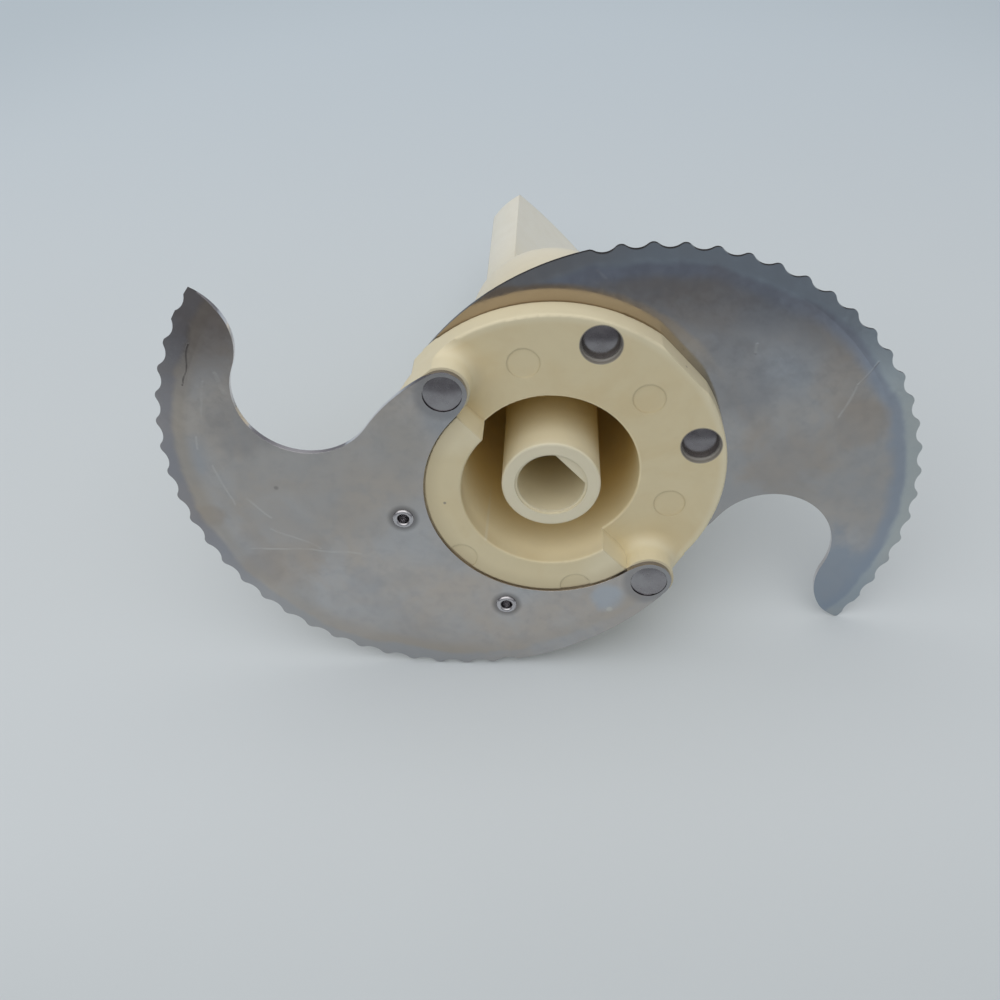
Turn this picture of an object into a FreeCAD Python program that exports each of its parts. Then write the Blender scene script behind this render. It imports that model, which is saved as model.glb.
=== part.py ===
import FreeCAD, Part
import math
import os

# Food processor blade. Two serrated steel blades, bent like an S in plan, are riveted
# to the stepped flange of a moulded hub. A sleeve with a D-shaped bore inside the hub
# drives it, and a tall stem above ends in a finger grip with two flats.
#
# Millimetres. The origin is on the drive axis, level with the underside of the lower
# blade. +Z runs up the axis towards the grip, and +X passes through an ear rivet. The
# stack of blades and flange is alike from above and below, apart from the stem.

V = FreeCAD.Vector
UP = V(0, 0, 1)
AXIS = V(0, 0, 0)

# Blades: two stampings alike, the upper one turned half round and lifted by one step
blade_thickness = 1.2
blade_step = 14.0
swept_radius = 83.7
rivet_pitch_radius = 32.3
plate_rivet_angle = 60.0
ear_radius = 4.95
hub_arc_radius = 26.85
ear_bridge_radius = 12.0
ear_side_radius = 40.0
notch_radius = 14.45
hook_width = 14.0
tip_back_radius = 13.0
tip_back_turn = -2.4
tip_round = 0.8

# Cutting edge: scallops and round crests along one arc that touches the swept circle and
# goes round the far ear. Next to the tip the crests stand out a little further each.
edge_heading = 9.2
scallop_count = 23
scallop_pitch = 6.4
first_pitch = 6.3
scallop_radius = 3.5
crest_radius = 1.5
tip_flare = 0.35
flared_crests = 2
grind_width = 4.2
grind_depth = 0.8
grind_offset = 2.2

# Hub flange: two half plates of one thickness, a step apart, joined by a web
flange_radius = 37.5
plate_thickness = 6.0
boss_clearance = 0.35
boss_recess = 0.5
front_step = -1.8
step_web = 3.0
post_radius = 5.5
post_flare = 3.0
rim_flat_offset = 36.75
rim_round = 0.6

# Hub body, cavity, stem and grip
mouth_radius = 19.0
cavity_top_radius = 18.0
cavity_height = 60.0
mouth_round = 0.4
stem_base_radius = 23.6
stem_top_radius = 21.4
shoulder_height = 84.0
shoulder_radius = 9.5
grip_radius = 20.6
grip_web = 10.0
grip_height = 121.5
grip_crown = 3.5
grip_round = 1.5
face_mark_pitch_radius = 27.1
face_mark_angles = (30, 90, 150)
boss_mark_pitch_radius = 26.3
boss_mark_angles = (210, 270)
pin_mark_radius = 3.4
pin_mark_depth = 0.2

# Drive sleeve
sleeve_radius = 10.5
sleeve_start = 3.0
sleeve_end = 72.0
sleeve_fit = 0.1
sleeve_round = 0.5
bore_radius = 7.2
bore_flat_offset = 5.5
bore_end = 68.0
bore_mouth_radius = 7.7
bore_mouth_depth = 0.6

# Rivets
head_radius = 3.9
head_thickness = 0.65
head_dome = 0.2
seat_clearance = 0.15
ear_seat_depth = 0.7
plate_seat_depth = 2.0
plate_seat_clearance = 0.35
shank_radius = 1.75
hole_clearance = 0.1
tube_radius = 1.2
tube_depth = 3.0
rim_radius = 2.3
rim_height = 0.5

# Levels that follow from the sizes above
lower_seat = blade_thickness
upper_seat = blade_step
upper_face = upper_seat - plate_thickness
lower_back = lower_seat + plate_thickness
stack_top = upper_seat + blade_thickness
boss_top_face = stack_top - boss_recess
boss_radius = hub_arc_radius - boss_clearance
back_step = front_step - step_web
hole_radius = shank_radius + hole_clearance
beyond = 1.0
touching = 0.01
wide = 4 * flange_radius


# Plane geometry

def polar(centre, radius, angle):
    turn = math.radians(angle)
    return centre + V(radius * math.cos(turn), radius * math.sin(turn), 0)


def heading(start, end):
    return math.degrees(math.atan2(end.y - start.y, end.x - start.x))


def crossing(centre_a, radius_a, centre_b, radius_b, side):
    """The point at one radius from each centre, left of the line a to b, or right for -1."""
    span = centre_b.distanceToPoint(centre_a)
    along = (span ** 2 + radius_a ** 2 - radius_b ** 2) / (2 * span)
    across = math.sqrt(radius_a ** 2 - along ** 2)
    unit = (centre_b - centre_a) * (1 / span)
    left = V(-unit.y, unit.x, 0)
    return centre_a + unit * along + left * (across * side)


def arc(centre, radius, start, end, turn):
    """An arc from one angle to another, anticlockwise for +1 and clockwise for -1."""
    sweep = turn * ((turn * (end - start)) % 360)
    ends = [polar(centre, radius, start + sweep * part) for part in (0, 0.5, 1)]
    return Part.Arc(*ends).toShape()


def turned(profile, centre=AXIS):
    """A solid of revolution from radius and height pairs, a third pair bending the edge."""
    edges = []
    for index, point in enumerate(profile):
        after = profile[(index + 1) % len(profile)]
        start = V(point[0], 0, point[1])
        end = V(after[0], 0, after[1])
        if len(point) == 4:
            edges.append(Part.Arc(start, V(point[2], 0, point[3]), end).toShape())
        else:
            edges.append(Part.LineSegment(start, end).toShape())
    solid = Part.Face(Part.Wire(edges)).revolve(AXIS, UP, 360)
    solid.translate(centre)
    return solid


def rounded(radius, height, centre_radius, centre_height, size, angle):
    """A profile point whose edge to the next one is an arc about the given centre."""
    turn = math.radians(angle)
    return (radius, height, centre_radius + size * math.cos(turn),
            centre_height + size * math.sin(turn))


def dome_middle(radius, height, rise):
    """The middle of a round dome's profile, between its rim and its top."""
    sphere = (radius ** 2 + rise ** 2) / (2 * rise)
    half = math.asin(radius / abs(sphere)) / 2
    return (abs(sphere) * math.sin(half), height + rise - sphere * (1 - math.cos(half)))


def cylinder(radius, bottom, top, centre=AXIS):
    return Part.makeCylinder(radius, top - bottom, centre + UP * bottom)


def half_space(edge_y, side, bottom, top):
    """A large block on one side of a line along X, towards +Y for +1 and -Y for -1."""
    start_y = edge_y if side > 0 else edge_y - wide
    return Part.makeBox(2 * wide, wide, top - bottom, V(-wide, start_y, bottom))


def half_turn(shape):
    copy = shape.copy()
    copy.rotate(AXIS, UP, 180)
    return copy


def turned_over(shape):
    """The shape turned upside down about the middle of the stack."""
    copy = shape.copy()
    copy.rotate(UP * (stack_top / 2), V(1, 0, 0), 180)
    return copy


# Rivet places

near_ear = V(rivet_pitch_radius, 0, 0)
far_ear = V(-rivet_pitch_radius, 0, 0)
upper_rivets = [polar(AXIS, rivet_pitch_radius, angle)
                for angle in (plate_rivet_angle, 180 - plate_rivet_angle)]
lower_rivets = [place * -1 for place in upper_rivets]


# Blade

def edge_arc():
    """The radius and centre of the cutting edge, inside the swept circle and round the far ear."""
    reach = swept_radius - ear_radius
    along = rivet_pitch_radius * math.cos(math.radians(edge_heading))
    distance = (reach ** 2 - rivet_pitch_radius ** 2) / (2 * (reach - along))
    return distance + ear_radius, polar(far_ear, distance, -edge_heading)


edge_radius, edge_centre = edge_arc()


def crest_places(back_centre):
    """Centre and radius of the tip's round and then of each crest, in order from the tip."""
    stand_out = flared_crests * tip_flare
    tip = crossing(back_centre, tip_back_radius - tip_round,
                   edge_centre, edge_radius - tip_round + stand_out, -1)
    places = [(tip, tip_round)]
    for index in range(scallop_count):
        along = first_pitch + index * scallop_pitch
        angle = heading(edge_centre, tip) - math.degrees(along / edge_radius)
        stand_out = max(0, flared_crests - 1 - index) * tip_flare
        centre = polar(edge_centre, edge_radius - crest_radius + stand_out, angle)
        places.append((centre, crest_radius))
    return places


def cutting_edge(crests, start):
    """The edges from the angle where the tip's round starts to the far ear, all tangent."""
    edges = []
    for (crest, radius), (after, after_radius) in zip(crests, crests[1:]):
        scallop = crossing(crest, radius + scallop_radius, after, after_radius + scallop_radius, 1)
        edges.append(arc(crest, radius, start, heading(crest, scallop), -1))
        edges.append(arc(scallop, scallop_radius, heading(scallop, crest),
                         heading(scallop, after), 1))
        start = heading(after, scallop)
    last, radius = crests[-1]
    end = heading(edge_centre, last)
    edges.append(arc(last, radius, start, end, -1))
    edges.append(arc(edge_centre, edge_radius, end, heading(edge_centre, far_ear), -1))
    return edges


def blade_outline():
    near_bridge = crossing(near_ear, ear_bridge_radius - ear_radius,
                           AXIS, ear_bridge_radius + hub_arc_radius, 1)
    far_bridge = V(-near_bridge.x, near_bridge.y, 0)
    hook = heading(AXIS, edge_centre)
    notch_centre = polar(AXIS, swept_radius - hook_width - notch_radius, hook)
    side_centre = crossing(near_ear, ear_side_radius - ear_radius,
                           notch_centre, ear_side_radius + notch_radius, -1)
    back_centre = polar(notch_centre, notch_radius + tip_back_radius, hook + tip_back_turn)
    crests = crest_places(back_centre)
    tip_angle = heading(back_centre, crests[0][0])
    edges = cutting_edge(crests, tip_angle) + [
        arc(far_ear, ear_radius, heading(edge_centre, far_ear),
            heading(far_bridge, far_ear), -1),
        arc(far_bridge, ear_bridge_radius, heading(far_bridge, far_ear),
            heading(far_bridge, AXIS), -1),
        arc(AXIS, hub_arc_radius, heading(AXIS, far_bridge), heading(AXIS, near_bridge), 1),
        arc(near_bridge, ear_bridge_radius, heading(near_bridge, AXIS),
            heading(near_bridge, near_ear), -1),
        arc(near_ear, ear_radius, heading(near_bridge, near_ear),
            heading(side_centre, near_ear), -1),
        arc(side_centre, ear_side_radius, heading(side_centre, near_ear),
            heading(side_centre, notch_centre), -1),
        arc(notch_centre, notch_radius, heading(notch_centre, side_centre),
            heading(notch_centre, back_centre), 1),
        arc(back_centre, tip_back_radius, heading(back_centre, notch_centre), tip_angle, -1),
    ]
    return Part.Wire(edges)


def edge_grind():
    """A flat cone off the underside, wide at the tip and narrow at the far ear."""
    slope = grind_depth / grind_width
    inner = edge_radius - grind_width
    outer = edge_radius + grind_width
    wedge = [(inner, 0), (outer, slope * (outer - inner)), (outer, -beyond), (inner, -beyond)]
    return turned(wedge, polar(edge_centre, grind_offset, 180 - edge_heading))


def blade(seat_on_top):
    plate = Part.Face(blade_outline()).extrude(UP * blade_thickness)
    cuts = [edge_grind()]
    for place in [near_ear, far_ear] + lower_rivets:
        cuts.append(cylinder(hole_radius, -beyond, blade_thickness + beyond, place))
    for place in (near_ear, far_ear):
        seat_bottom = blade_thickness - ear_seat_depth if seat_on_top else -beyond
        seat_top = blade_thickness + beyond if seat_on_top else ear_seat_depth
        cuts.append(cylinder(head_radius + seat_clearance, seat_bottom, seat_top, place))
    return plate.cut(cuts)


# Hub

def rounded_disc(radius, bottom, top):
    low = bottom + rim_round
    high = top - rim_round
    inset = radius - rim_round
    return turned([
        (0, bottom),
        rounded(inset, bottom, inset, low, rim_round, -45),
        (radius, low),
        rounded(radius, high, inset, high, rim_round, 45),
        (inset, top),
        (0, top),
    ])


def post_foot(place):
    """The flare at the end of an ear post, under the upper half plate."""
    flared = post_radius + post_flare
    start = upper_face - post_flare
    return turned([
        (0, start),
        rounded(post_radius, start, flared, start, post_flare, 135),
        (flared, upper_face),
        (flared, upper_face + beyond),
        (0, upper_face + beyond),
    ], place)


def half_plate():
    """The upper half plate before it is cut back, with its boss and the posts' flares."""
    plate = rounded_disc(flange_radius, upper_face, upper_seat)
    boss = cylinder(boss_radius, upper_seat - beyond, boss_top_face)
    rim = cylinder(flange_radius, -beyond, upper_seat)
    feet = [post_foot(place).common(rim) for place in (near_ear, far_ear)]
    return plate.fuse([boss] + feet)


def stem():
    shoulder_start = shoulder_height - shoulder_radius
    shoulder_inset = stem_top_radius - shoulder_radius
    return turned([
        (0, upper_face),
        (stem_base_radius, upper_face),
        rounded(stem_top_radius, shoulder_start, shoulder_inset, shoulder_start,
                shoulder_radius, 45),
        (shoulder_inset, shoulder_height),
        (0, shoulder_height),
    ])


def stem_foot():
    """The stem's start behind the lower half plate, up to the level where the stem is whole."""
    foot = cylinder(stem_base_radius, lower_seat, upper_face)
    return foot.common(half_space(front_step, -1, -beyond, wide))


def grip():
    """The finger grip, a crowned post with a flat on each side."""
    inset = grip_radius - grip_round
    under = grip_height - grip_round
    post = turned([
        (0, cavity_height),
        (grip_radius, cavity_height),
        rounded(grip_radius, under, inset, under, grip_round, 45),
        (inset, grip_height) + dome_middle(inset, grip_height, grip_crown),
        (0, grip_height + grip_crown),
    ])
    web = half_space(-grip_web / 2, 1, 0, 2 * grip_height)
    web = web.common(half_space(grip_web / 2, -1, 0, 2 * grip_height))
    return post.common(web)


def cavity_radius(height):
    return mouth_radius - (mouth_radius - cavity_top_radius) * height / cavity_height


def cavity():
    """The space round the sleeve, with the socket that holds the sleeve's upper end."""
    socket = sleeve_radius + sleeve_fit
    return turned([
        (0, -beyond),
        (cavity_radius(-beyond), -beyond),
        (cavity_top_radius, cavity_height),
        (socket, cavity_height),
        (socket, sleeve_end),
        (0, sleeve_end),
    ])


def rivet_passages():
    cuts = []
    seat_radius = head_radius + plate_seat_clearance
    for place in [near_ear, far_ear] + lower_rivets + upper_rivets:
        cuts.append(cylinder(hole_radius, -beyond, stack_top + beyond, place))
    for place in lower_rivets:
        cuts.append(cylinder(seat_radius, lower_back - plate_seat_depth, upper_seat, place))
    for place in upper_rivets:
        cuts.append(cylinder(seat_radius, lower_seat, upper_face + plate_seat_depth, place))
    return cuts


def pin_marks():
    """Faint round marks of the ejector pins, three on the upper face and two on the boss."""
    cuts = []
    for angle in face_mark_angles:
        place = polar(AXIS, face_mark_pitch_radius, angle)
        cuts.append(cylinder(pin_mark_radius, -beyond, upper_face + pin_mark_depth, place))
    for angle in boss_mark_angles:
        place = polar(AXIS, boss_mark_pitch_radius, angle)
        cuts.append(cylinder(pin_mark_radius, -beyond, boss_recess + pin_mark_depth, place))
    return cuts


def web():
    """The wall between the half plates, along the step."""
    disc = rounded_disc(flange_radius, lower_seat, upper_seat)
    front = half_space(front_step, -1, -beyond, wide)
    return disc.common(front).common(half_space(back_step, 1, -beyond, wide))


def mouth_edges(shape):
    """The round edges of the cavity's mouth, at the boss and at the upper level."""
    edges = []
    for edge in shape.Edges:
        middle = edge.valueAt((edge.FirstParameter + edge.LastParameter) / 2)
        at_mouth = min(abs(middle.z - level) for level in (boss_recess, upper_face)) < touching
        if at_mouth and abs(math.hypot(middle.x, middle.y) - cavity_radius(middle.z)) < touching:
            edges.append(edge)
    return edges


def hub():
    half = half_plate()
    upper_half = half.common(half_space(back_step, 1, -wide, wide))
    lower_half = turned_over(half).common(half_space(front_step, -1, -wide, wide))
    posts = [cylinder(post_radius, lower_seat, upper_seat, place)
             .common(cylinder(flange_radius, -beyond, stack_top))
             for place in (near_ear, far_ear)]
    body = lower_half.fuse([upper_half, web(), stem(), stem_foot(), grip()] + posts)
    cuts = [cavity(), half_space(rim_flat_offset, 1, -beyond, upper_seat + beyond)]
    body = body.cut(cuts + rivet_passages() + pin_marks()).removeSplitter()
    return body.makeFillet(mouth_round, mouth_edges(body))


# Drive sleeve

def drive_sleeve():
    inset = sleeve_radius - sleeve_round
    low = sleeve_start + sleeve_round
    tube = turned([
        (0, sleeve_start),
        rounded(inset, sleeve_start, inset, low, sleeve_round, -45),
        (sleeve_radius, low),
        (sleeve_radius, sleeve_end),
        (0, sleeve_end),
    ])
    bore = cylinder(bore_radius, sleeve_start - beyond, bore_end)
    bore = bore.common(half_space(bore_flat_offset, -1, -beyond, bore_end + beyond))
    mouth = cylinder(bore_mouth_radius, sleeve_start - beyond, sleeve_start + bore_mouth_depth)
    return tube.cut([bore, mouth])


# Rivets

def rivet(grip_length):
    """A semi-tubular rivet, head below, with its bearing face at height 0."""
    rim_middle = (rim_radius + tube_radius) / 2
    return turned([
        (0, -head_thickness) + dome_middle(head_radius, head_dome - head_thickness, -head_dome),
        (head_radius, head_dome - head_thickness),
        (head_radius, 0),
        (shank_radius, 0),
        (shank_radius, grip_length),
        (rim_radius, grip_length, rim_middle, grip_length + rim_height),
        (tube_radius, grip_length),
        (tube_radius, grip_length - tube_depth),
        (0, grip_length - tube_depth - tube_radius),
    ])


def placed(shape, place, height):
    copy = shape.copy()
    copy.translate(place + UP * height)
    return copy


def ear_rivets():
    grip_length = stack_top - 2 * ear_seat_depth
    return [placed(rivet(grip_length), place, ear_seat_depth) for place in (near_ear, far_ear)]


def upper_blade_rivets():
    """The rivets through the upper half plate and its blade, the heads sunk in the plate."""
    seat = upper_face + plate_seat_depth
    return [placed(rivet(stack_top - seat), place, seat) for place in upper_rivets]


# Parts

lower_blade = blade(False)
upper_blade = half_turn(blade(True))
upper_blade.translate(UP * blade_step)

parts = {
    "hub": hub(),
    "drive_sleeve": drive_sleeve(),
    "lower_blade": lower_blade,
    "upper_blade": upper_blade,
    "ear_rivets": Part.makeCompound(ear_rivets()),
    "lower_blade_rivets": Part.makeCompound([turned_over(r) for r in upper_blade_rivets()]),
    "upper_blade_rivets": Part.makeCompound(upper_blade_rivets()),
}

os.makedirs("parts", exist_ok=True)
for name, shape in parts.items():
    shape.exportStep("parts/" + name + ".step")
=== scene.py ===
import bpy
from mathutils import Matrix, Vector

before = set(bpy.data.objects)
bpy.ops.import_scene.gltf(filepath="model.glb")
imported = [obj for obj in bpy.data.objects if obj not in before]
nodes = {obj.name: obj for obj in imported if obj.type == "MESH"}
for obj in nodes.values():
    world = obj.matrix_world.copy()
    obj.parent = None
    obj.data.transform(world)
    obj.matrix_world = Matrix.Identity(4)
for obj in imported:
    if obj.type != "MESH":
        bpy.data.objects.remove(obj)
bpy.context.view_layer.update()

# Food processor blade, lying on a table on its grip, one blade's crest and the other's tip,
# seen from its open end. The row frame keeps the drive axis upright, so the table is the
# tilted thing here. Everything is in metres, apart from the lists of stains and scratches,
# which are in millimetres.

# Camera, as fitted to the photo
CAMERA_PLACE = Vector((0.104312, 0.095118, -0.196315))
CAMERA_FORWARD = Vector((-0.40483, -0.42884, 0.8076))
CAMERA_UP = Vector((0.60349, 0.53823, 0.58831))
CAMERA_LENS = 41.52
SENSOR_WIDTH = 36
CLIP_START = 0.01

# Table: the plane through the three points that the object rests on. It is solid out to one
# radius and gone at another, both about a point a little beyond the object.
TABLE_UP = Vector((0.7104, 0.6552, -0.257)).normalized()
TABLE_POINT = Vector((-0.0231, -0.0483, 0.0012))
TABLE_SHIFT = 0.07
TABLE_SOLID = 0.33
TABLE_REACH = 0.5
TABLE_COLOUR = (0.675, 0.716, 0.738)
# Painted shade: the board is darker and bluer far off, and darker towards its outer reach and
# the front, as the light falls off.
TABLE_FAR = (0.60, 0.675, 0.735)
TABLE_OUTER = (0.93, 0.935, 0.935)
OBJECT_CENTRE = Vector((0, 0, 0.03))

# Part: places of one rivet of each kind, the others mirrored, and of the lower blade's edge
EAR_RIVET = (0.0323, 0, 0)
PLATE_RIVET = (0.01615, 0.02797, 0)
HEAD_RADIUS = 0.0039
EDGE_CENTRE = (0.02202, -0.0088)
EDGE_RADIUS = 0.05998
CAVITY_END = 0.0602

# Where the masks on the plastic start and are full. Heights are along the drive axis.
STEM_HEIGHT = (0.035, 0.1)
POST_REACH = (0.017, 0.0115)
POST_HEIGHT = (0.0082, 0.006)
RIM_RADIUS = (0.0352, 0.0369)
SKIRT_RADIUS = (0.0225, 0.0262)
SKIRT_HEIGHT = (0.0014, 0.0008)
MOUTH_HEIGHT = (0.001, 0.006)
INSIDE_HEIGHT = (0.006, 0.027)
SEAT_REACH = (0.0046, 0.0043)
SEAT_DEEP = (0.0085, 0.0093)
SEAT_END = (0.0115, 0.0105)
FLOW_LINE = (0, -0.0189, 0)
FLOW_WIDTH = (0.0006, 0.0002)

# Where the masks on the blades start and are full. Those of the bands are distances from the
# centre of the cutting edge, and those from heel to tip are along the blade.
INNER_START = (EDGE_RADIUS - 0.0081, EDGE_RADIUS - 0.0050)
INNER_STOP = (EDGE_RADIUS - 0.0024, EDGE_RADIUS - 0.0040)
OUTER_START = (EDGE_RADIUS - 0.0044, EDGE_RADIUS - 0.0028)
GROUND_WALL = (EDGE_RADIUS - 0.0022, EDGE_RADIUS - 0.0016)
HEEL_TO_TIP = (0.012, 0.048)
HEEL = (-0.036, -0.02)
TIP = (0.068, 0.079)
EAR_FACE = (0.0068, 0.0048)
EAR_EDGE = (0.009, 0.0065)
EYELET_RING = (0.0039, 0.0024)
# Painted reflection: where the flange's wall shows mirrored in the upper blade.
WALL_REFLECTION_RADIUS = (0.0419, 0.0405)
WALL_REFLECTION_SIDE = (0.82, 0.57, 0)
WALL_REFLECTION_BESIDE = (0.012, 0.034)
WALL_REFLECTION_PALES = (0.025, 0.042)

# How far the noise moves the outline of a stained patch or a spot of painted shade, in its
# radii, of a band and of the painted reflection of the wall, and a scratch
SPOT_WAVE = 2.2
BAND_WAVE = 0.006
WALL_REFLECTION_WAVE = 0.003
SCRATCH_WAVE = 0.0016

BEVEL_SAMPLES = 6
SHEET_ROUNDING = 0.00014


def linear(red, green, blue):
    """A colour as it is seen on a screen, from 0 to 255, as the linear values of a shader."""
    seen = [value / 255 for value in (red, green, blue)]
    return tuple(v / 12.92 if v < 0.04045 else ((v + 0.055) / 1.055) ** 2.4 for v in seen)


def toned(colour, share):
    """A colour with its values multiplied by a share."""
    return tuple(value * share for value in colour)


# Colours of the stained patches and other marks. SHADE and DUSK are painted shade.
BROWN = (0.36, 0.30, 0.25)
SHADE = (0.37, 0.365, 0.36)
DUSK = (0.26, 0.26, 0.275)
BLUISH = (0.34, 0.38, 0.44)
DEEP_BLUE = (0.28, 0.345, 0.43)
PALE_BLUE = (0.46, 0.51, 0.58)
COOL = (0.50, 0.505, 0.52)
DARK = (0.10, 0.09, 0.09)
LIGHT = (0.70, 0.69, 0.66)
SHEARED = (0.74, 0.71, 0.73)
EAR_WALL = (0.36, 0.34, 0.36)
# Painted reflection: brown tones of the flange's wall as mirrored in the upper blade.
WALL_REFLECTION = (0.435, 0.36, 0.28)
PALE_WALL_REFLECTION = (0.54, 0.46, 0.37)
# Painted light: paler tone for the ear posts and the rim.
PALE_PAINTED_LIGHT = (0.84, 0.765, 0.55)
# The next grey is real grime in the specks and painted shade in the rivet seats, and the paler
# one is painted shade deeper in the seats.
GRIME_AND_SHADE = (0.21, 0.20, 0.195)
PALE_SEAT_SHADE = (0.45, 0.44, 0.44)
SPECK = linear(95, 80, 50)

# Plastics: `reach` is the radius within which the tone is that of the inside, and each speck
# is a place and a size
# The mouth and inside tones are painted light and shade in the bore, paler at the mouth and
# deeper further in. The pale tone is painted light up the hub's stem, over plastic less yellowed
# there, and painted shade up the sleeve's bore.
HUB = dict(
    colour=(0.772, 0.672, 0.437), aged=(0.738, 0.618, 0.376), pale=(0.91, 0.88, 0.765),
    mouth=(0.93, 0.82, 0.55), inside=(0.93, 0.72, 0.32), reach=0.0192, roughness=0.42,
    rounding=0.0005, flow=0.3, specks=[((0.0129, -0.0187, 0.0005), 0.00045)])
SLEEVE = dict(
    colour=(0.82, 0.765, 0.59), aged=(0.79, 0.73, 0.53), pale=(0.82, 0.70, 0.42),
    mouth=(0.83, 0.745, 0.525), inside=(0.81, 0.665, 0.375), reach=0.0112, roughness=0.40,
    rounding=0.00025, flow=0.0, specks=[])

# Blades: each band has its colour at the heel and at the tip. A stained patch or a spot of
# painted shade has its place, radius, strength and colour, and a scratch its two ends, width,
# strength and colour.
LOWER_BLADE = dict(
    side=1, reflects_wall=False, warm=(0.53, 0.48, 0.435), cool=(0.50, 0.495, 0.50),
    inner=((0.46, 0.41, 0.355), (0.44, 0.385, 0.325)),
    outer=((0.41, 0.42, 0.44), (0.28, 0.275, 0.305)),
    # The entries in SHADE and DUSK are painted shade, the others are stained patches.
    stains_and_shades=[
        (72.5, -25.5, 11.0, 0.3, BROWN),
        (27.0, -55.0, 14.0, 0.28, BROWN),
        (44.0, -58.0, 4.0, 0.4, BROWN),
        (57.0, -51.5, 8.0, 0.45, BLUISH),
        (33.9, -66.0, 12.0, 0.35, BLUISH),
        (27.1, -3.0, 8.0, 0.35, BLUISH),
        (-29.7, -9.3, 4.2, 0.7, PALE_BLUE),
        (-32.6, -11.6, 0.7, 0.6, LIGHT),
        (39.7, -42.3, 0.6, 0.4, DARK),
        (53.0, -34.5, 10.0, 0.35, DUSK),
        (33.0, -47.0, 9.0, 0.35, COOL),
        (30.0, -15.0, 8.0, 0.3, SHADE),
        (15.5, -62.0, 8.0, 0.3, SHADE),
        (28.0, -61.0, 6.0, 0.25, BROWN),
        (9.5, -48.0, 5.5, 0.28, BLUISH),
    ],
    scratches=[
        ((75.8, -26.0), (72.9, -30.0), 0.8, 0.25, DARK),
        ((73.6, -28.6), (68.6, -36.8), 0.25, 0.72, DARK),
        ((32.6, -59.1), (25.5, -51.1), 0.4, 0.35, LIGHT),
        ((25.5, -51.1), (15.9, -42.0), 0.35, 0.25, LIGHT),
        ((33.4, -51.2), (22.7, -47.6), 0.35, 0.25, LIGHT),
        ((52.5, -47.8), (42.7, -52.4), 0.35, 0.28, LIGHT),
        ((42.0, -49.5), (35.5, -49.0), 0.4, 0.28, LIGHT),
        ((59.1, -44.8), (57.0, -47.0), 0.35, 0.4, LIGHT),
        ((65.6, -30.2), (62.0, -32.0), 0.7, 0.22, LIGHT),
        ((66.0, -33.5), (61.5, -40.0), 0.4, 0.2, LIGHT),
    ])
UPPER_BLADE = dict(
    side=-1, reflects_wall=True, warm=(0.49, 0.455, 0.425), cool=(0.45, 0.46, 0.48),
    inner=((0.40, 0.46, 0.57), (0.30, 0.355, 0.44)),
    outer=((0.54, 0.66, 0.76), (0.51, 0.565, 0.575)),
    # The entries in SHADE and DUSK are painted shade, the others are stained patches.
    stains_and_shades=[
        (27.0, 38.0, 14.0, 0.3, SHADE),
        (-3.0, 56.0, 9.0, 0.3, BLUISH),
        (-16.6, 49.9, 10.0, 0.35, BLUISH),
        (-27.1, 58.7, 10.0, 0.22, BROWN),
        (7.2, 50.0, 8.0, 0.15, SHADE),
        (-35.0, 36.0, 12.0, 0.3, BROWN),
        (-9.0, 41.0, 14.0, 0.42, DUSK),
        (-38.0, 54.0, 8.0, 0.3, BROWN),
        (-44.0, 32.0, 7.0, 0.25, SHADE),
        (-70.5, 24.5, 18.0, 0.7, DEEP_BLUE),
    ],
    scratches=[
        ((-27.8, 65.4), (-29.2, 59.2), 0.35, 0.35, LIGHT),
        ((-29.2, 59.2), (-33.3, 52.1), 0.4, 0.3, LIGHT),
        ((26.6, 36.3), (22.8, 36.6), 0.6, 0.15, LIGHT),
        ((-7.6, 49.4), (-9.0, 48.0), 0.4, 0.25, LIGHT),
    ])

# Rivets: `swell` is how far a head's normal leans outwards at its edge
EAR_RIVETS = dict(
    middle=EAR_RIVET, swell=0.11, light=linear(160, 158, 160), dark=linear(148, 144, 147))
EYELETS = dict(
    middle=PLATE_RIVET, swell=0.0, light=linear(205, 203, 205), dark=linear(190, 187, 190))
PLATE_HEADS = dict(
    middle=PLATE_RIVET, swell=0.2, light=linear(150, 147, 149), dark=linear(136, 132, 135))

# Light: what the object sees round it, from the horizon up, and what the camera sees
WORLD_LOW = (0.19, 0.195, 0.21)
WORLD_HIGH = (0.51, 0.52, 0.535)
WORLD_RISE = (0.08, 0.6)
WORLD_SEEN = linear(193, 199, 203)
SOFTBOX_PLACE = (-0.2, -0.06, 0.85)
SOFTBOX_SIZE = 1.4
SOFTBOX_POWER = 4.95
SOFTBOX_COLOUR = (1, 0.985, 0.96)

# Directions on the table, as the camera sees them
AWAY = (CAMERA_FORWARD - TABLE_UP * CAMERA_FORWARD.dot(TABLE_UP)).normalized()
ACROSS = AWAY.cross(TABLE_UP)


def over_table(across, away, height):
    """A place given by its distances from the object's middle along the table and above it."""
    foot = OBJECT_CENTRE - TABLE_UP * (OBJECT_CENTRE - TABLE_POINT).dot(TABLE_UP)
    return foot + ACROSS * across + AWAY * away + TABLE_UP * height


def turned_to(forward, up):
    """The rotation that looks along forward, with up as near to the picture's top as it goes."""
    back = -forward.normalized()
    right = up.cross(back).normalized()
    true_up = back.cross(right)
    return Matrix((right, true_up, back)).transposed()


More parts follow.
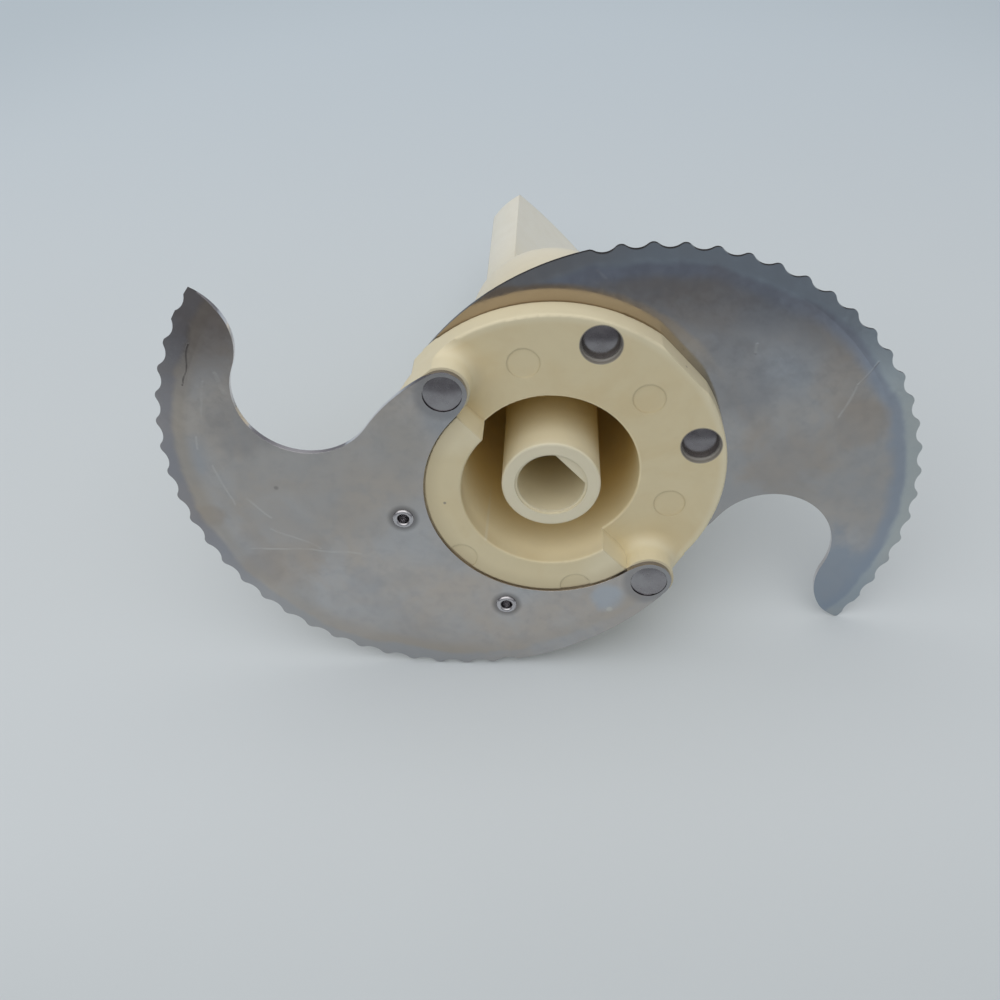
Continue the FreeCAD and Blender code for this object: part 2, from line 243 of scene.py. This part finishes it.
class Nodes:
    """A short way to write a node tree. Colours and masks run from one call to the next."""

    def __init__(self, tree):
        self.tree = tree
        self.tree.nodes.clear()

    def add(self, kind, settings=None, **inputs):
        """A node of a kind. An input is given by its name, or by i and its number."""
        node = self.tree.nodes.new("ShaderNode" + kind)
        for key, value in (settings or {}).items():
            setattr(node, key, value)
        for key, value in inputs.items():
            name = int(key[1:]) if key[0] == "i" and key[1:].isdigit() else key.replace("_", " ")
            self.set(node.inputs[name], value)
        return node

    def set(self, socket, value):
        if isinstance(value, bpy.types.NodeSocket):
            self.tree.links.new(value, socket)
        elif isinstance(value, tuple) and len(value) == 3 and socket.type == "RGBA":
            socket.default_value = value + (1,)
        else:
            socket.default_value = value

    def math(self, operation, first, second=0.0):
        return self.add("Math", {"operation": operation}, i0=first, i1=second).outputs[0]

    def times(self, first, second):
        return self.math("MULTIPLY", first, second)

    def vector(self, operation, first, second=(0, 0, 0)):
        node = self.add("VectorMath", {"operation": operation}, i0=first, i1=second)
        return node.outputs["Value" if operation in ("DISTANCE", "DOT_PRODUCT") else "Vector"]

    def scaled(self, value, factor):
        node = self.add("VectorMath", {"operation": "SCALE"}, i0=value)
        self.set(node.inputs["Scale"], factor)
        return node.outputs["Vector"]

    def in_plan(self, place):
        return self.vector("MULTIPLY", place, (1, 1, 0))

    def from_rivet(self, place, rivet):
        """The distance in plan from the nearest rivet of a kind."""
        folded = self.in_plan(self.vector("ABSOLUTE", place))
        return self.vector("DISTANCE", folded, rivet)

    def fade(self, value, start, end, low=0.0, high=1.0):
        """The value's way from start to end, eased, as a number from low to high."""
        node = self.add("MapRange", {"interpolation_type": "SMOOTHSTEP"}, Value=value)
        for key, number in zip(("From Min", "From Max", "To Min", "To Max"),
                               (start, end, low, high)):
            node.inputs[key].default_value = number
        return node.outputs[0]

    def noise(self, place, scale, detail=3.0, roughness=0.55, warp=0.0):
        node = self.add("TexNoise", Vector=place, Scale=scale, Detail=detail,
                        Roughness=roughness, Distortion=warp)
        return node.outputs[0]

    def mix(self, factor, first, second, blend="MIX"):
        node = self.add("Mix", {"data_type": "RGBA", "blend_type": blend}, i0=factor)
        self.set(node.inputs[6], first)
        self.set(node.inputs[7], second)
        return node.outputs[2]

    def mark(self, tone, mask, strength, colour):
        """The tone with a colour mixed in where the mask is."""
        return self.mix(self.times(mask, strength), tone, colour)


def new_material(name):
    material = bpy.data.materials.new(name)
    material.use_nodes = True
    return material, Nodes(material.node_tree)


def table_material():
    """Pale board, seen from above only. It darkens a little away from the object and towards the
    front, a painted shade for the light falling off, and fades out round it and so shows no rim."""
    material, n = new_material("table_board")
    place = n.add("TexCoord").outputs["Object"]
    cloud = n.noise(place, 9.0, 2.0)
    near = n.mix(n.fade(cloud, 0.3, 0.7), TABLE_COLOUR, toned(TABLE_COLOUR, 0.985))
    away = n.vector("DOT_PRODUCT", place, tuple(AWAY))
    # Painted shade: darker and bluer far off, and darker towards the outer reach and the front.
    colour = n.mix(n.fade(away, 0.0, 0.34), near, TABLE_FAR)
    outward = n.vector("DISTANCE", place, tuple(over_table(0, 0, 0)))
    front = over_table(0, -0.07, 0).dot(AWAY)
    outer = n.math("MAXIMUM", n.fade(outward, 0.24, 0.34), n.fade(away, front, front - 0.06))
    colour = n.mix(outer, colour, TABLE_OUTER, "MULTIPLY")
    board = n.add("BsdfDiffuse", Color=colour)
    clear = n.add("BsdfTransparent")
    reach = n.vector("DISTANCE", place, tuple(over_table(0, TABLE_SHIFT, 0)))
    gone = n.fade(reach, TABLE_SOLID, TABLE_REACH)
    under = n.add("NewGeometry").outputs["Backfacing"]
    shown = n.add("MixShader", i0=n.math("MAXIMUM", gone, under), i1=board.outputs[0],
                  i2=clear.outputs[0])
    n.add("OutputMaterial", Surface=shown.outputs[0])
    return material


def table():
    mesh = bpy.data.meshes.new("table")
    corners = [over_table(a * TABLE_REACH, b * TABLE_REACH + TABLE_SHIFT, 0)
               for a, b in ((-1, -1), (1, -1), (1, 1), (-1, 1))]
    mesh.from_pydata(corners, [], [(0, 1, 2, 3)])
    mesh.update()
    obj = bpy.data.objects.new("table", mesh)
    bpy.context.scene.collection.objects.link(obj)
    mesh.materials.append(table_material())


def plastic_tone(n, place, look):
    """Plastic yellowed unevenly, with specks and a pale line of flow. Painted light and shade:
    paler up the hub's stem over less yellowed plastic and darker up the sleeve's bore, paler at
    the mouth and deeper in tone inside, paler on the ear posts and the rim, darker at the lower
    boss's outer edge, and grey in the rivet seats."""
    height = n.add("SeparateXYZ", Vector=place).outputs["Z"]
    off_axis = n.vector("DISTANCE", n.in_plan(place), (0, 0, 0))
    aging = n.noise(place, 60.0, 4.0, 0.6, 0.6)
    tone = n.mix(n.fade(aging, 0.42, 0.72), look["colour"], look["aged"])
    # Up the stem: on the hub, painted light over plastic that is less yellowed there; on the
    # sleeve, painted shade further into the cavity.
    tone = n.mix(n.fade(height, *STEM_HEIGHT), tone, look["pale"])
    # Painted light: paler on the ear posts and round the rim.
    posts = n.times(n.fade(n.from_rivet(place, EAR_RIVET), *POST_REACH),
                    n.fade(height, *POST_HEIGHT))
    tone = n.mark(tone, n.math("MAXIMUM", posts, n.fade(off_axis, *RIM_RADIUS)), 0.7, PALE_PAINTED_LIGHT)
    # Painted shade: darker near the outer edge of the lower boss.
    skirt_shade = n.times(n.fade(off_axis, *SKIRT_RADIUS), n.fade(height, *SKIRT_HEIGHT))
    tone = n.mark(tone, skirt_shade, 0.4, toned(look["aged"], 0.72))

    # Painted light and shade in the bore: paler near the mouth, deeper and more orange further
    # in.
    within = n.times(n.fade(off_axis, look["reach"] + 0.0003, look["reach"] - 0.0002),
                     n.fade(height, CAVITY_END + 0.001, CAVITY_END))
    tone = n.mix(n.times(within, n.fade(height, *MOUTH_HEIGHT)), tone, look["mouth"])
    tone = n.mix(n.times(within, n.fade(height, *INSIDE_HEIGHT)), tone, look["inside"])

    cloud = n.noise(place, 240.0, 3.0)
    tone = n.mix(n.fade(cloud, 0.35, 0.75, 0.0, 0.06), tone, toned(look["aged"], 0.7))
    cell = n.add("TexVoronoi", Vector=place, Scale=110.0)
    rare = n.fade(n.add("SeparateColor", i0=cell.outputs["Color"]).outputs[0], 0.93, 0.94)
    tone = n.mark(tone, n.times(n.fade(cell.outputs["Distance"], 0.05, 0.02), rare), 0.7, SPECK)
    # Painted shade: the rivet seats are grey, darker near the face and paler deeper in.
    seat = n.fade(n.from_rivet(place, PLATE_RIVET), *SEAT_REACH)
    deep = n.times(n.fade(height, *SEAT_DEEP), n.fade(height, *SEAT_END))
    tone = n.mark(tone, seat, 0.85, n.mix(deep, GRIME_AND_SHADE, PALE_SEAT_SHADE))
    for spot, size in look["specks"]:
        reach = n.vector("DISTANCE", place, spot)
        tone = n.mix(n.fade(reach, size, size / 3, 0.0, 0.7), tone, GRIME_AND_SHADE)
    if look["flow"]:
        line = n.vector("DISTANCE", n.vector("MULTIPLY", place, (1, 1, 0.02)), FLOW_LINE)
        tone = n.mix(n.fade(line, *FLOW_WIDTH, 0.0, look["flow"]), tone, look["pale"])
    return tone


def plastic(name, look):
    """Moulded plastic with a soft gloss, a faint grain and rounded edges."""
    material, n = new_material(name)
    place = n.add("TexCoord").outputs["Object"]
    tone = plastic_tone(n, place, look)
    rough = n.fade(n.noise(place, 320.0, 4.0), 0.3, 0.7,
                   look["roughness"] - 0.05, look["roughness"] + 0.07)
    grain = n.noise(place, 1400.0, 3.0)
    rounded = n.add("Bevel", {"samples": BEVEL_SAMPLES}, Radius=look["rounding"])
    bump = n.add("Bump", Strength=0.1, Distance=0.0001, Height=grain, Normal=rounded.outputs[0])
    shader = n.add("BsdfPrincipled", Base_Color=tone, Roughness=rough, Normal=bump.outputs[0],
                   IOR=1.47)
    n.add("OutputMaterial", Surface=shader.outputs[0])
    return material


def spot_mask(n, flat, x, y, size, drift):
    """A soft round mask about a place on a blade, in millimetres, with a wavy outline."""
    reach = n.vector("DISTANCE", flat, (x / 1000, y / 1000, 0))
    reach = n.math("ADD", reach, n.times(drift, SPOT_WAVE * size / 1000))
    return n.fade(reach, size / 1000, size / 2500)


def scratch(n, flat, start, end, width):
    """A thin mask along a straight line on a blade, in millimetres."""
    start = Vector(start) / 1000
    line = Vector(end) / 1000 - start
    from_start = n.vector("SUBTRACT", flat, (start.x, start.y, 0))
    share = n.vector("DOT_PRODUCT", from_start, (line.x, line.y, 0))
    share = n.add("Clamp", Value=n.math("DIVIDE", share, line.length_squared)).outputs[0]
    nearest = n.scaled((line.x, line.y, 0), share)
    return n.fade(n.vector("DISTANCE", from_start, nearest), width / 1000, width / 4000)


def mottled(n, moved, drift, broad, fine, warm, cool):
    """The sheet's own greys, in clouds of four sizes."""
    tone = n.mix(n.fade(drift, -0.17, 0.19), warm, cool)
    patch = n.noise(moved, 95.0, 2.0, 0.5, 1.2)
    for cloud, start, end, strength, colour in (
            (broad, 0.35, 0.65, 0.45, toned(warm, 0.76)),
            (patch, 0.5, 0.68, 0.3, toned(cool, 0.8)),
            (fine, 0.42, 0.75, 0.3, toned(cool, 0.72))):
        tone = n.mix(n.fade(cloud, start, end, 0.0, strength), tone, colour)
    return tone


def banded(n, tone, look, flat, centre, drift, broad):
    """Two bands of other tones along the cutting edge. They change from heel to tip."""
    reach = n.math("ADD", n.vector("DISTANCE", flat, centre), n.times(drift, BAND_WAVE))
    along = n.vector("DOT_PRODUCT", flat, (look["side"], 0, 0))
    to_tip = n.fade(along, *HEEL_TO_TIP)
    inner = n.times(n.fade(reach, *INNER_START), n.fade(reach, *INNER_STOP))
    inner = n.times(inner, n.fade(broad, 0.4, 0.56, 0.35, 0.7))
    tone = n.mix(inner, tone, n.mix(to_tip, *look["inner"]))
    outer = n.times(n.fade(reach, *OUTER_START), n.fade(along, *HEEL, 0.2, 0.65))
    outer = n.times(outer, n.fade(along, *TIP, 1.0, 0.5))
    return n.mix(outer, tone, n.mix(to_tip, *look["outer"]))


def painted_wall_reflection(n, tone, flat, drift):
    """A painted reflection of the flange's brown wall, on one side of the hub."""
    off_axis = n.math("ADD", n.vector("DISTANCE", flat, (0, 0, 0)), n.times(drift, WALL_REFLECTION_WAVE))
    beside = n.vector("DOT_PRODUCT", flat, WALL_REFLECTION_SIDE)
    mask = n.times(n.fade(off_axis, *WALL_REFLECTION_RADIUS), n.fade(beside, *WALL_REFLECTION_BESIDE))
    height = n.vector("DOT_PRODUCT", flat, (0, 1, 0))
    return n.mix(mask, tone, n.mix(n.fade(height, *WALL_REFLECTION_PALES), WALL_REFLECTION, PALE_WALL_REFLECTION))


def scratched(n, tone, place, moved, fine, scratches):
    """The tone with wavy, broken scratches on it, and all the scratches as one mask."""
    wave = n.add("TexNoise", Vector=moved, Scale=160.0, Detail=1.0).outputs["Color"]
    centred = n.vector("SUBTRACT", wave, (0.5, 0.5, 0.5))
    wavy = n.in_plan(n.vector("ADD", place, n.scaled(centred, SCRATCH_WAVE)))
    broken = n.fade(fine, 0.36, 0.56, 0.35, 1.0)
    all_of_them = 0.0
    for start, end, width, strength, colour in scratches:
        mask = n.times(n.times(scratch(n, wavy, start, end, width), strength), broken)
        tone = n.mix(mask, tone, colour)
        all_of_them = n.math("ADD", mask, all_of_them)
    return tone, all_of_them


def sheet_normal(n, plain, upright, at_edge):
    """The sheet's normal, rounded at its edges apart from the cutting edge. The slope of the
    ground band is nearly levelled, so that the band has no hard line along it."""
    rounded = n.add("Bevel", {"samples": BEVEL_SAMPLES}, Radius=SHEET_ROUNDING)
    facing = n.add("Mix", {"data_type": "VECTOR"}, i0=at_edge)
    n.set(facing.inputs[4], rounded.outputs[0])
    n.set(facing.inputs[5], plain)
    facing = facing.outputs[1]
    slope = n.fade(upright, 0.93, 0.97, 0.0, 0.92)
    sideways = n.vector("MULTIPLY", facing, (-1, -1, 0))
    return n.vector("NORMALIZE", n.vector("ADD", facing, n.scaled(sideways, slope)))


def blade_steel(name, look):
    """Satin sheet, stained, with spots of painted shade, bands, scratches, dark rings round its
    rivets and paler walls, which are dark along the cutting edge. The rings round the eyelets
    are painted shadow over some dirt, the dark walls along the cutting edge are painted shade,
    and the upper blade has a painted reflection of the flange's wall."""
    material, n = new_material(name)
    place = n.add("TexCoord").outputs["Object"]
    flat = n.in_plan(place)
    moved = n.vector("ADD", place, (0.31 * look["side"], 0.17, 0))
    drift = n.math("SUBTRACT", n.noise(moved, 55.0, 4.0, 0.6, 0.4), 0.5)
    broad = n.noise(moved, 24.0, 2.0)
    fine = n.noise(moved, 300.0, 5.0, 0.62, 0.3)
    centre = (EDGE_CENTRE[0] * look["side"], EDGE_CENTRE[1] * look["side"], 0)
    plain = n.add("NewGeometry").outputs["Normal"]
    upright = n.math("ABSOLUTE", n.add("SeparateXYZ", Vector=plain).outputs["Z"])
    wall = n.fade(upright, 0.6, 0.3)
    at_edge = n.fade(n.vector("DISTANCE", flat, centre), *GROUND_WALL)
    from_ear = n.from_rivet(place, EAR_RIVET)
    ring = n.fade(n.from_rivet(place, PLATE_RIVET), *EYELET_RING)

    tone = mottled(n, moved, drift, broad, fine, look["warm"], look["cool"])
    # Stained patches, and spots of painted shade in SHADE and DUSK.
    for x, y, size, strength, colour in look["stains_and_shades"]:
        tone = n.mark(tone, spot_mask(n, flat, x, y, size, drift), strength, colour)
    tone = banded(n, tone, look, flat, centre, drift, broad)
    tone = n.mix(n.fade(from_ear, *EAR_FACE, 0.0, 0.55), tone, DUSK)
    # Painted reflection: the flange's brown wall, mirrored in the upper blade, is mixed into its
    # colour.
    if look["reflects_wall"]:
        tone = painted_wall_reflection(n, tone, flat, drift)
    # Painted shadow over some dirt: dark rings round the eyelets.
    tone = n.mark(tone, ring, 0.6, DARK)
    tone = n.mix(wall, tone, n.mix(n.fade(from_ear, *EAR_EDGE), SHEARED, EAR_WALL))
    # Painted shade: the walls along the cutting edge are painted dark.
    tone = n.mix(n.times(wall, at_edge), tone, DARK)
    tone, scarred = scratched(n, tone, place, moved, fine, look["scratches"])

    rough = n.math("ADD", n.fade(fine, 0.3, 0.75, 0.10, 0.18), n.times(scarred, 0.12))
    hair = n.noise(n.vector("MULTIPLY", moved, (90, 2600, 90)), 1.0, 2.0)
    bump = n.add("Bump", Strength=0.05, Distance=0.00002, Height=hair,
                 Normal=sheet_normal(n, plain, upright, at_edge))
    dent = n.add("Bump", {"invert": True}, Strength=0.3, Distance=0.00006, Height=scarred,
                 Normal=bump.outputs[0])
    shader = n.add("BsdfPrincipled", Base_Color=tone, Roughness=rough, Metallic=1.0,
                   Normal=dent.outputs[0])
    n.add("OutputMaterial", Surface=shader.outputs[0])
    return material


def rivet_steel(name, look):
    """Plain drawn steel, dull in patches. The heads swell softly round their middles."""
    material, n = new_material(name)
    place = n.add("TexCoord").outputs["Object"]
    fine = n.noise(place, 260.0, 3.0, 0.5)
    tone = n.mix(n.fade(fine, 0.3, 0.75), look["light"], look["dark"])
    rough = n.fade(n.noise(place, 500.0, 3.0), 0.3, 0.7, 0.2, 0.3)
    middle = n.vector("MULTIPLY", n.vector("SIGN", place), look["middle"])
    outward = n.in_plan(n.vector("SUBTRACT", place, middle))
    plain = n.add("NewGeometry").outputs["Normal"]
    leaning = n.vector("ADD", plain, n.scaled(outward, look["swell"] / HEAD_RADIUS))
    bump = n.add("Bump", Strength=0.01, Distance=0.00005, Height=fine,
                 Normal=n.vector("NORMALIZE", leaning))
    shader = n.add("BsdfPrincipled", Base_Color=tone, Roughness=rough, Metallic=1.0,
                   Normal=bump.outputs[0])
    n.add("OutputMaterial", Surface=shader.outputs[0])
    return material


def studio_world():
    """Dim round the horizon and brighter overhead. The camera sees one even pale tone."""
    world = bpy.data.worlds.new("studio")
    bpy.context.scene.world = world
    world.use_nodes = True
    n = Nodes(world.node_tree)
    direction = n.add("TexCoord").outputs["Generated"]
    height = n.vector("DOT_PRODUCT", direction, tuple(TABLE_UP))
    lit = n.add("Background", Color=n.mix(n.fade(height, *WORLD_RISE), WORLD_LOW, WORLD_HIGH))
    seen = n.add("Background", Color=WORLD_SEEN)
    by_camera = n.add("LightPath").outputs["Is Camera Ray"]
    both = n.add("MixShader", i0=by_camera, i1=lit.outputs[0], i2=seen.outputs[0])
    n.add("OutputWorld", Surface=both.outputs[0])


def softbox():
    data = bpy.data.lights.new("softbox", "AREA")
    data.shape = "SQUARE"
    data.size = SOFTBOX_SIZE
    data.energy = SOFTBOX_POWER
    data.color = SOFTBOX_COLOUR
    light = bpy.data.objects.new("softbox", data)
    bpy.context.scene.collection.objects.link(light)
    place = over_table(*SOFTBOX_PLACE)
    facing = turned_to(OBJECT_CENTRE - place, AWAY)
    light.matrix_world = Matrix.Translation(place) @ facing.to_4x4()


def camera():
    data = bpy.data.cameras.new("camera")
    data.lens = CAMERA_LENS
    data.sensor_width = SENSOR_WIDTH
    data.clip_start = CLIP_START
    obj = bpy.data.objects.new("camera", data)
    bpy.context.scene.collection.objects.link(obj)
    facing = turned_to(CAMERA_FORWARD, CAMERA_UP)
    obj.matrix_world = Matrix.Translation(CAMERA_PLACE) @ facing.to_4x4()
    bpy.context.scene.camera = obj


dress = {
    "hub": plastic("hub_plastic_look", HUB),
    "drive_sleeve": plastic("sleeve_plastic_look", SLEEVE),
    "lower_blade": blade_steel("lower_blade_look", LOWER_BLADE),
    "upper_blade": blade_steel("upper_blade_look", UPPER_BLADE),
    "ear_rivets": rivet_steel("ear_rivet_look", EAR_RIVETS),
    "lower_blade_rivets": rivet_steel("eyelet_look", EYELETS),
    "upper_blade_rivets": rivet_steel("plate_rivet_look", PLATE_HEADS),
}
for node_name, look_material in dress.items():
    node_materials = nodes[node_name].data.materials
    node_materials.clear()
    node_materials.append(look_material)

table()
studio_world()
softbox()
camera()
bpy.context.scene.view_settings.view_transform = "Standard"
